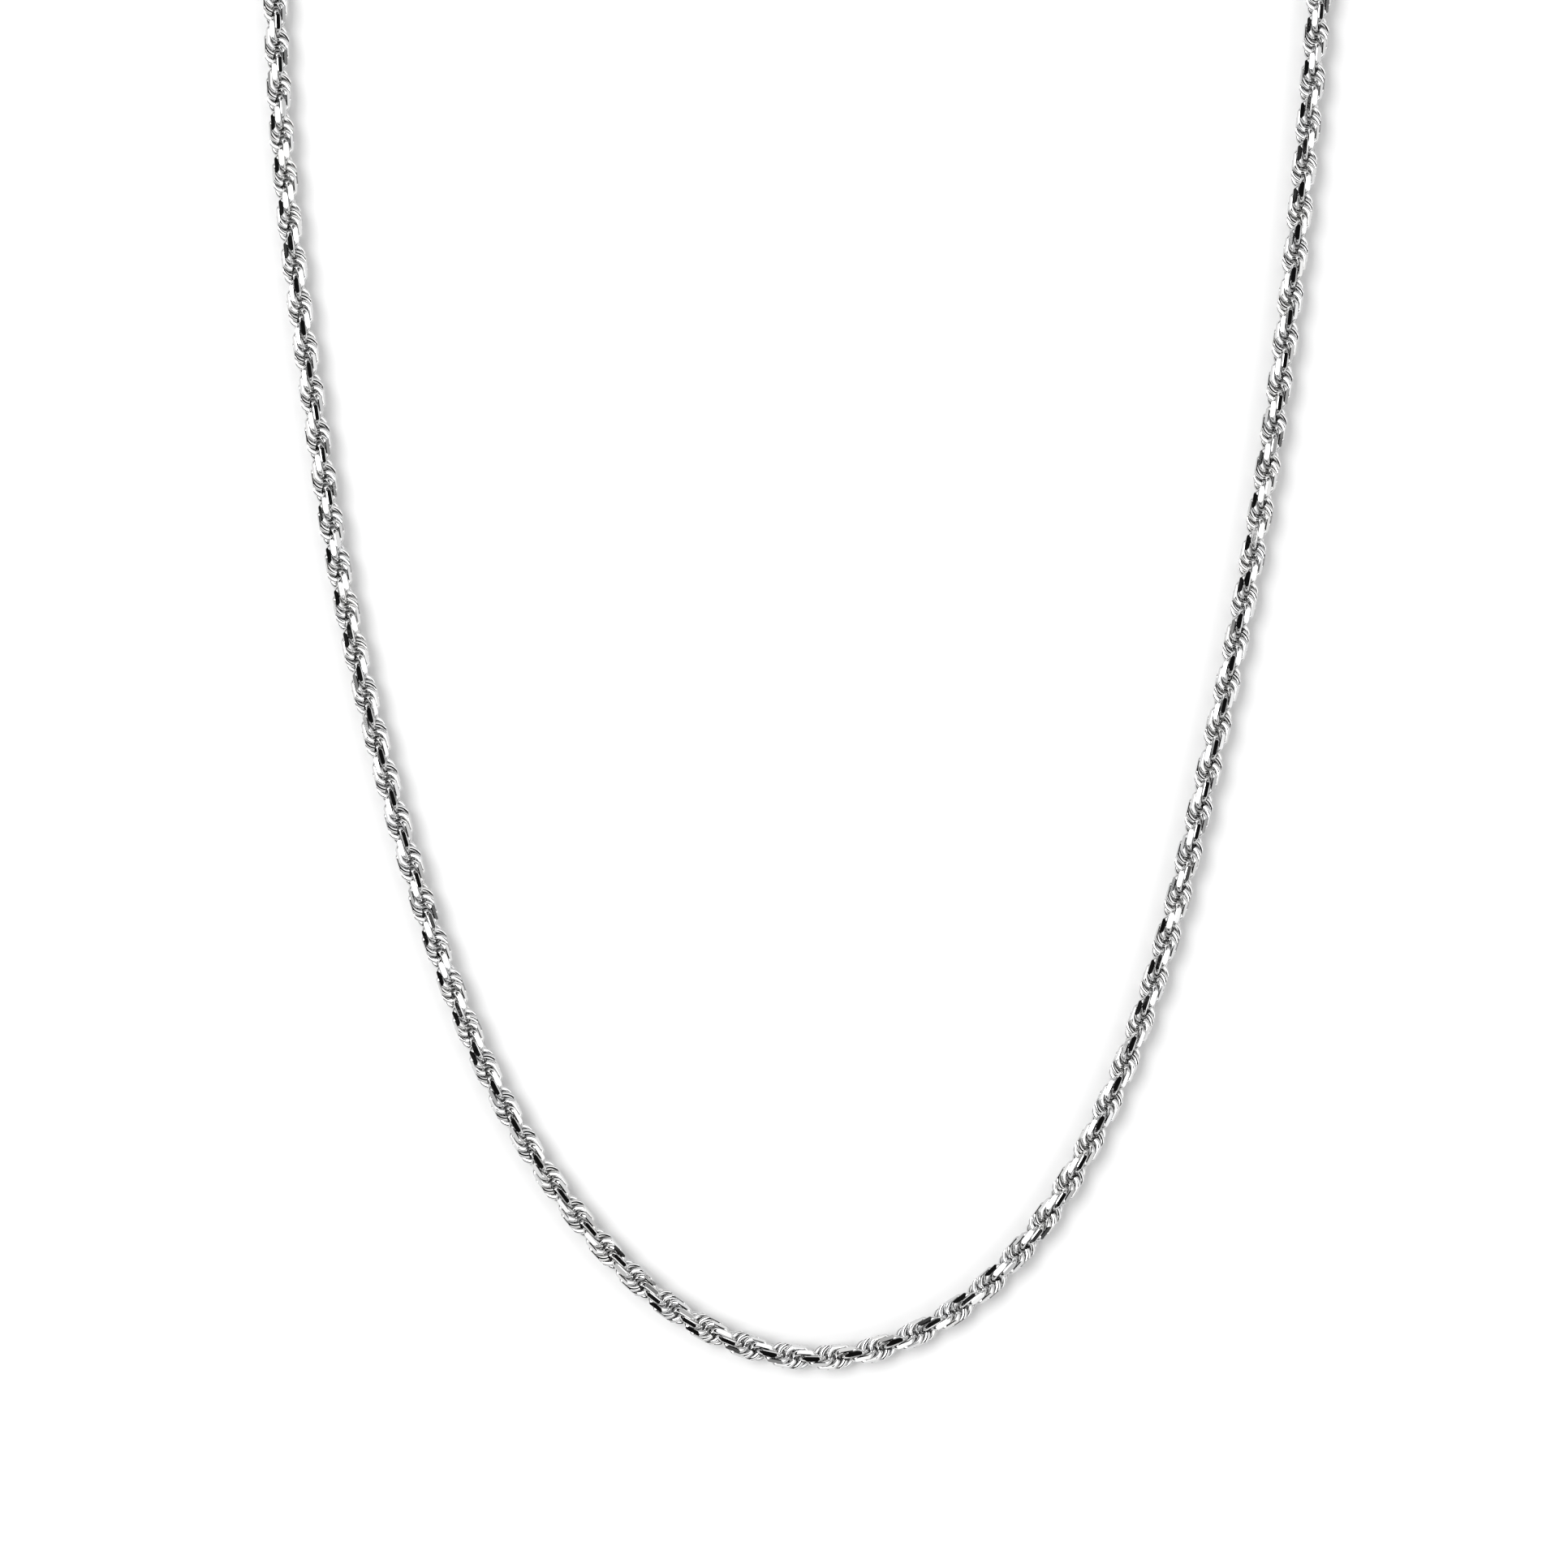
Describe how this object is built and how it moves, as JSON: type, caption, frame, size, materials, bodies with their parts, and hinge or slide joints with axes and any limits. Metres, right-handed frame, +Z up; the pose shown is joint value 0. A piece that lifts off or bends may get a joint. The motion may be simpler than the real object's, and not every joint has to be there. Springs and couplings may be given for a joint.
{
  "type": "chain necklace",
  "caption": "Unfastened rope-chain necklace of interlocked slit rings with diamond-cut flats, laid in a U, with an end ring and a sprung lobster clasp.",
  "frame": {"origin": "on the table under the middle of the laid-out necklace", "axes": "+Y from the front of the necklace to its two ends, +X across the U, +Z up from the table"},
  "size_m": [0.1054, 0.2056, 0.0034],
  "materials": {
    "polished_silver": "polished, diamond cut",
    "silver_castings": "polished",
    "spring_steel": "bright drawn"
  },
  "bodies": {
    "chain_01": {"chain_01_even_links": "polished_silver", "chain_01_odd_links": "polished_silver", "clasp_end_cap": "silver_castings"},
    "chain_02": {"chain_02_even_links": "polished_silver", "chain_02_odd_links": "polished_silver"},
    "chain_03": {"chain_03_even_links": "polished_silver", "chain_03_odd_links": "polished_silver"},
    "chain_04": {"chain_04_even_links": "polished_silver", "chain_04_odd_links": "polished_silver"},
    "chain_05": {"chain_05_even_links": "polished_silver", "chain_05_odd_links": "polished_silver"},
    "chain_06": {"chain_06_even_links": "polished_silver", "chain_06_odd_links": "polished_silver"},
    "chain_07": {"chain_07_even_links": "polished_silver", "chain_07_odd_links": "polished_silver"},
    "chain_08": {"chain_08_even_links": "polished_silver", "chain_08_odd_links": "polished_silver"},
    "chain_09": {"chain_09_even_links": "polished_silver", "chain_09_odd_links": "polished_silver"},
    "chain_10": {"chain_10_even_links": "polished_silver", "chain_10_odd_links": "polished_silver"},
    "chain_11": {"chain_11_even_links": "polished_silver", "chain_11_odd_links": "polished_silver"},
    "chain_12": {"chain_12_even_links": "polished_silver", "chain_12_odd_links": "polished_silver"},
    "chain_13": {"chain_13_even_links": "polished_silver", "chain_13_odd_links": "polished_silver"},
    "chain_14": {"chain_14_even_links": "polished_silver", "chain_14_odd_links": "polished_silver"},
    "chain_15": {"chain_15_even_links": "polished_silver", "chain_15_odd_links": "polished_silver"},
    "chain_16": {"chain_16_even_links": "polished_silver", "chain_16_odd_links": "polished_silver"},
    "chain_17": {"chain_17_even_links": "polished_silver", "chain_17_odd_links": "polished_silver"},
    "chain_18": {"chain_18_even_links": "polished_silver", "chain_18_odd_links": "polished_silver"},
    "chain_19": {"chain_19_even_links": "polished_silver", "chain_19_odd_links": "polished_silver"},
    "chain_20": {"chain_20_even_links": "polished_silver", "chain_20_odd_links": "polished_silver"},
    "chain_21": {"chain_21_even_links": "polished_silver", "chain_21_odd_links": "polished_silver"},
    "chain_22": {"chain_22_even_links": "polished_silver", "chain_22_odd_links": "polished_silver"},
    "chain_23": {"chain_23_even_links": "polished_silver", "chain_23_odd_links": "polished_silver"},
    "chain_24": {"chain_24_even_links": "polished_silver", "chain_24_odd_links": "polished_silver"},
    "chain_25": {"chain_25_even_links": "polished_silver", "chain_25_odd_links": "polished_silver", "ring_end_cap": "silver_castings"},
    "clasp_link": {"clasp_ring": "silver_castings"},
    "clasp": {"clasp_body": "silver_castings", "clasp_rivet": "silver_castings", "clasp_spring": "spring_steel"},
    "trigger": {"clasp_lever": "silver_castings"},
    "ring": {"end_ring": "silver_castings"}
  },
  "joints": [
    {"name": "chain_bend_01", "type": "hinge", "parent": "chain_02", "child": "chain_01", "pos_m": [-0.04702, 0.0718, 0.00126], "axis": [-0.0018, -0.0068, 1], "range_deg": [-8, 8]},
    {"name": "chain_bend_02", "type": "hinge", "parent": "chain_03", "child": "chain_02", "pos_m": [-0.0504, 0.05536, 0.00129], "axis": [-0.9913, 0.1316, 0], "range_deg": [-8, 8]},
    {"name": "chain_bend_03", "type": "hinge", "parent": "chain_04", "child": "chain_03", "pos_m": [-0.05146, 0.0386, 0.0013], "axis": [0, 0.0013, -1], "range_deg": [-8, 8]},
    {"name": "chain_bend_04", "type": "hinge", "parent": "chain_05", "child": "chain_04", "pos_m": [-0.05102, 0.02181, 0.00129], "axis": [0.9984, 0.0569, 0], "range_deg": [-8, 8]},
    {"name": "chain_bend_05", "type": "hinge", "parent": "chain_06", "child": "chain_05", "pos_m": [-0.04949, 0.00509, 0.00129], "axis": [0, 0, -1], "range_deg": [-8, 8]},
    {"name": "chain_bend_06", "type": "hinge", "parent": "chain_07", "child": "chain_06", "pos_m": [-0.04721, -0.01156, 0.00129], "axis": [0.9898, 0.1427, 0], "range_deg": [-8, 8]},
    {"name": "chain_bend_07", "type": "hinge", "parent": "chain_08", "child": "chain_07", "pos_m": [-0.04445, -0.02813, 0.00129], "axis": [0, 0, 1], "range_deg": [-8, 8]},
    {"name": "chain_bend_08", "type": "hinge", "parent": "chain_09", "child": "chain_08", "pos_m": [-0.04062, -0.04448, 0.00129], "axis": [-0.9669, -0.2553, 0], "range_deg": [-8, 8]},
    {"name": "chain_bend_09", "type": "hinge", "parent": "chain_10", "child": "chain_09", "pos_m": [-0.03583, -0.06058, 0.00129], "axis": [0, 0, 1], "range_deg": [-8, 8]},
    {"name": "chain_bend_10", "type": "hinge", "parent": "chain_11", "child": "chain_10", "pos_m": [-0.02937, -0.07607, 0.00129], "axis": [-0.8878, -0.4603, 0], "range_deg": [-8, 8]},
    {"name": "chain_bend_11", "type": "hinge", "parent": "chain_12", "child": "chain_11", "pos_m": [-0.01999, -0.08996, 0.00129], "axis": [0, 0, -1], "range_deg": [-8, 8]},
    {"name": "chain_bend_12", "type": "hinge", "parent": "chain_13", "child": "chain_12", "pos_m": [-0.00668, -0.09995, 0.00129], "axis": [0.3707, 0.9287, 0], "range_deg": [-8, 8]},
    {"name": "chain_bend_13", "type": "hinge", "parent": "chain_13", "child": "chain_14", "pos_m": [0.00968, -0.09998, 0.00129], "axis": [0, 0, 1], "range_deg": [-8, 8]},
    {"name": "chain_bend_14", "type": "hinge", "parent": "chain_14", "child": "chain_15", "pos_m": [0.02272, -0.0897, 0.00129], "axis": [0.7903, -0.6128, 0], "range_deg": [-8, 8]},
    {"name": "chain_bend_15", "type": "hinge", "parent": "chain_15", "child": "chain_16", "pos_m": [0.03089, -0.07508, 0.00129], "axis": [0, 0, -1], "range_deg": [-8, 8]},
    {"name": "chain_bend_16", "type": "hinge", "parent": "chain_16", "child": "chain_17", "pos_m": [0.03632, -0.05919, 0.00129], "axis": [-0.964, 0.266, 0], "range_deg": [-8, 8]},
    {"name": "chain_bend_17", "type": "hinge", "parent": "chain_17", "child": "chain_18", "pos_m": [0.04026, -0.04286, 0.00129], "axis": [0, 0, -1], "range_deg": [-8, 8]},
    {"name": "chain_bend_18", "type": "hinge", "parent": "chain_18", "child": "chain_19", "pos_m": [0.04369, -0.02642, 0.00129], "axis": [-0.9824, 0.1868, 0], "range_deg": [-8, 8]},
    {"name": "chain_bend_19", "type": "hinge", "parent": "chain_19", "child": "chain_20", "pos_m": [0.04646, -0.00985, 0.00129], "axis": [0, 0, 1], "range_deg": [-8, 8]},
    {"name": "chain_bend_20", "type": "hinge", "parent": "chain_20", "child": "chain_21", "pos_m": [0.04852, 0.00682, 0.00129], "axis": [0.9943, -0.1066, 0], "range_deg": [-8, 8]},
    {"name": "chain_bend_21", "type": "hinge", "parent": "chain_21", "child": "chain_22", "pos_m": [0.05016, 0.02354, 0.00129], "axis": [0, 0.0001, 1], "range_deg": [-8, 8]},
    {"name": "chain_bend_22", "type": "hinge", "parent": "chain_22", "child": "chain_23", "pos_m": [0.05131, 0.0403, 0.0013], "axis": [0.9992, -0.0405, 0], "range_deg": [-8, 8]},
    {"name": "chain_bend_23", "type": "hinge", "parent": "chain_23", "child": "chain_24", "pos_m": [0.05107, 0.05709, 0.00128], "axis": [0.0004, -0.0044, -1], "range_deg": [-8, 8]},
    {"name": "chain_bend_24", "type": "hinge", "parent": "chain_24", "child": "chain_25", "pos_m": [0.04855, 0.07369, 0.00128], "axis": [-0.978, -0.2087, 0], "range_deg": [-8, 8]},
    {"name": "clasp_link_swing", "type": "hinge", "parent": "chain_01", "child": "clasp_link", "pos_m": [-0.04099, 0.09052, 0.00156], "axis": [0, 0, 1], "range_deg": [-20, 20]},
    {"name": "clasp_swing", "type": "hinge", "parent": "clasp_link", "child": "clasp", "pos_m": [-0.04011, 0.09298, 0.001], "axis": [0, 0, 1], "range_deg": [-20, 20]},
    {"name": "trigger_pivot", "type": "hinge", "parent": "clasp", "child": "trigger", "pos_m": [-0.04038, 0.09652, 0.001], "axis": [0, 0, -1], "range_deg": [0, 24], "stiffness_Nm_per_rad": 0.002, "springref_deg": -20.05},
    {"name": "end_ring_tilt", "type": "hinge", "parent": "chain_25", "child": "ring", "pos_m": [0.0435, 0.09269, 0.00156], "axis": [0.9572, 0.2895, 0], "range_deg": [0, 70]}
  ]
}
